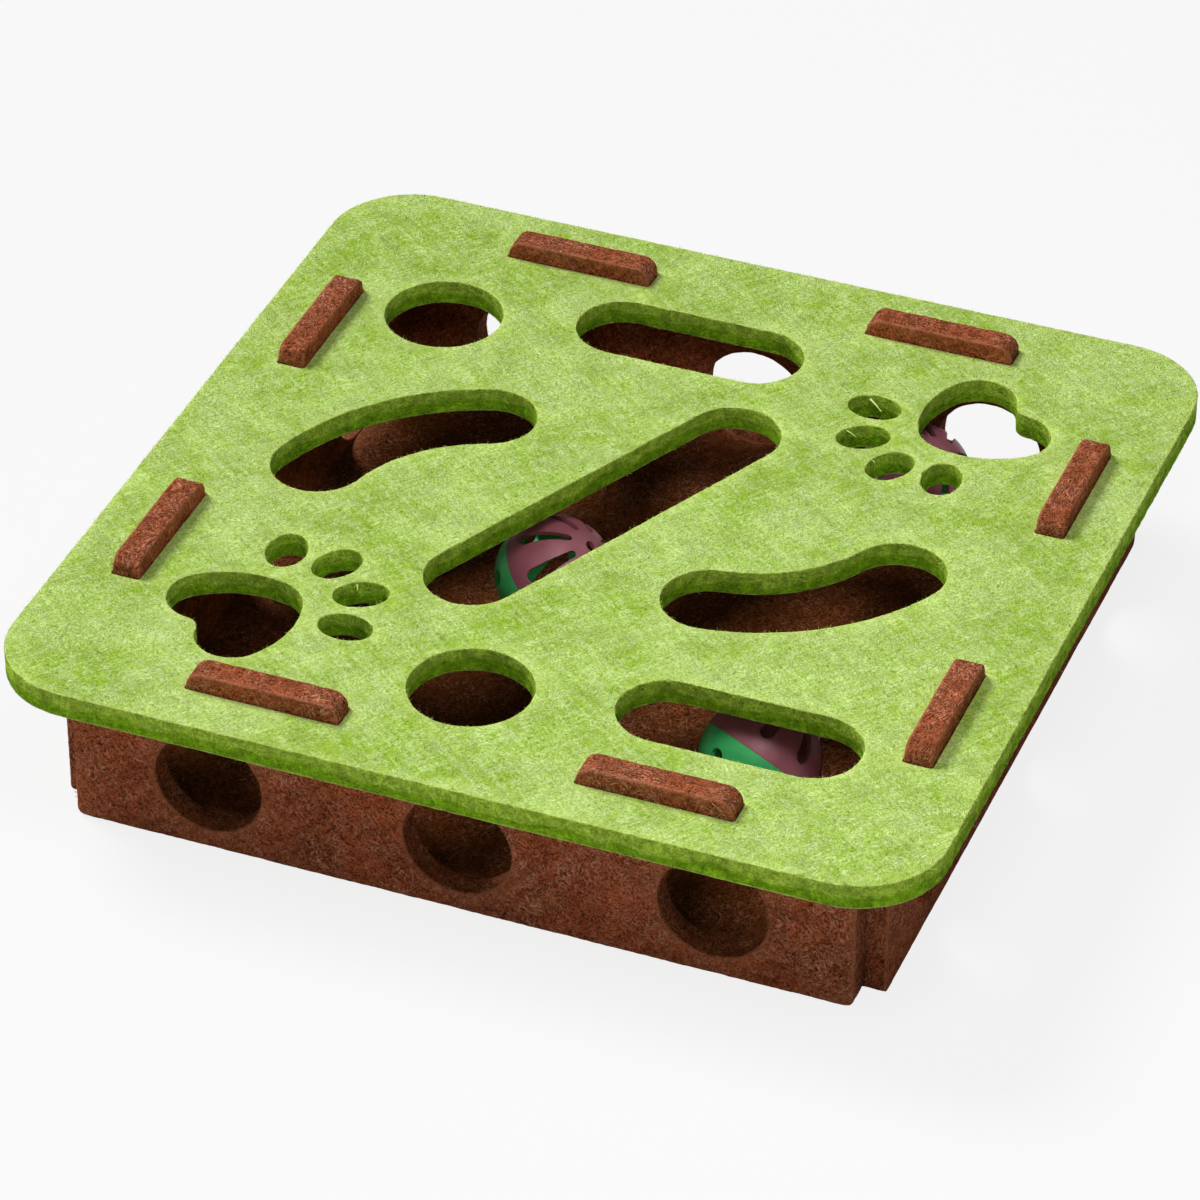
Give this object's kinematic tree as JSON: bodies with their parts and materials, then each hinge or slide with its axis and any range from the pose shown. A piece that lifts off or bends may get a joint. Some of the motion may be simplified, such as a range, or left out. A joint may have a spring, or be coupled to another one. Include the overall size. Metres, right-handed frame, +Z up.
{
  "type": "cat maze toy",
  "caption": "Flat square felt puzzle box for cats: a lid with paw print, slot and round openings, holed walls that plug into it, and lattice bell balls that roll inside.",
  "frame": {"origin": "middle of the box's footprint, on the surface that it stands on", "axes": "+Z up through the lid, +X to the right along the front wall, -Y out of the front wall"},
  "size_m": [0.28, 0.28, 0.0607],
  "materials": {
    "lid_felt": "yellow-green needle felt, matte and fibrous",
    "box_felt": "reddish brown needle felt with paler fibres, matte",
    "mauve_plastic": "mauve-pink moulded plastic, satin",
    "green_plastic": "green moulded plastic, satin",
    "bell_metal": "pressed brass-coloured sheet, bright",
    "pellet_steel": "plain steel shot"
  },
  "bodies": {
    "box": {"front_wall": "box_felt", "back_wall": "box_felt", "left_wall": "box_felt", "right_wall": "box_felt", "floor_board": "box_felt"},
    "lid": {"lid": "lid_felt"},
    "first_ball_bell": {"first_ball_bell_cap": "bell_metal", "first_ball_bell_cup": "bell_metal"},
    "first_ball_shell": {"first_ball_mauve_half": "mauve_plastic", "first_ball_green_half": "green_plastic"},
    "first_ball_pellet": {"first_ball_pellet": "pellet_steel"},
    "second_ball_bell": {"second_ball_bell_cap": "bell_metal", "second_ball_bell_cup": "bell_metal"},
    "second_ball_shell": {"second_ball_mauve_half": "mauve_plastic", "second_ball_green_half": "green_plastic"},
    "second_ball_pellet": {"second_ball_pellet": "pellet_steel"},
    "third_ball_bell": {"third_ball_bell_cap": "bell_metal", "third_ball_bell_cup": "bell_metal"},
    "third_ball_shell": {"third_ball_mauve_half": "mauve_plastic", "third_ball_green_half": "green_plastic"},
    "third_ball_pellet": {"third_ball_pellet": "pellet_steel"}
  },
  "joints": [
    {"name": "lid_lift", "type": "slide", "parent": "box", "child": "lid", "axis": [0, 0, 1], "range_m": [0, 0.06]},
    {"name": "first_ball_roll", "type": "slide", "parent": "box", "child": "first_ball_bell", "axis": [1, 0, 0], "range_m": [-0.0746, 0.1186]},
    {"name": "first_ball_turn", "type": "hinge", "parent": "first_ball_bell", "child": "first_ball_shell", "pos_m": [-0.022, 0.0045, 0.02405], "axis": [0, 1, 0], "range_deg": [-240.85, 382.88]},
    {"name": "first_ball_rattle", "type": "hinge", "parent": "first_ball_bell", "child": "first_ball_pellet", "pos_m": [-0.022, 0.0045, 0.0138], "axis": [0, 1, 0], "range_deg": [-60, 60]},
    {"name": "second_ball_roll", "type": "slide", "parent": "box", "child": "second_ball_bell", "axis": [1, 0, 0], "range_m": [-0.16195, 0.03125]},
    {"name": "second_ball_turn", "type": "hinge", "parent": "second_ball_bell", "child": "second_ball_shell", "pos_m": [0.06535, -0.05685, 0.02405], "axis": [0, 1, 0], "range_deg": [-522.81, 100.92]},
    {"name": "second_ball_rattle", "type": "hinge", "parent": "second_ball_bell", "child": "second_ball_pellet", "pos_m": [0.06535, -0.05685, 0.0138], "axis": [0, 1, 0], "range_deg": [-60, 60]},
    {"name": "third_ball_roll", "type": "slide", "parent": "box", "child": "third_ball_bell", "axis": [1, 0, 0], "range_m": [-0.15745, 0.03575]},
    {"name": "third_ball_turn", "type": "hinge", "parent": "third_ball_bell", "child": "third_ball_shell", "pos_m": [0.06085, 0.08985, 0.02405], "axis": [0, 1, 0], "range_deg": [-508.29, 115.45]},
    {"name": "third_ball_rattle", "type": "hinge", "parent": "third_ball_bell", "child": "third_ball_pellet", "pos_m": [0.06085, 0.08985, 0.0138], "axis": [0, 1, 0], "range_deg": [-60, 60]}
  ],
  "couplings": [
    {"joint": "first_ball_turn", "follows": "first_ball_roll", "rad_per_m": 56.338},
    {"joint": "second_ball_turn", "follows": "second_ball_roll", "rad_per_m": 56.338},
    {"joint": "third_ball_turn", "follows": "third_ball_roll", "rad_per_m": 56.338}
  ]
}
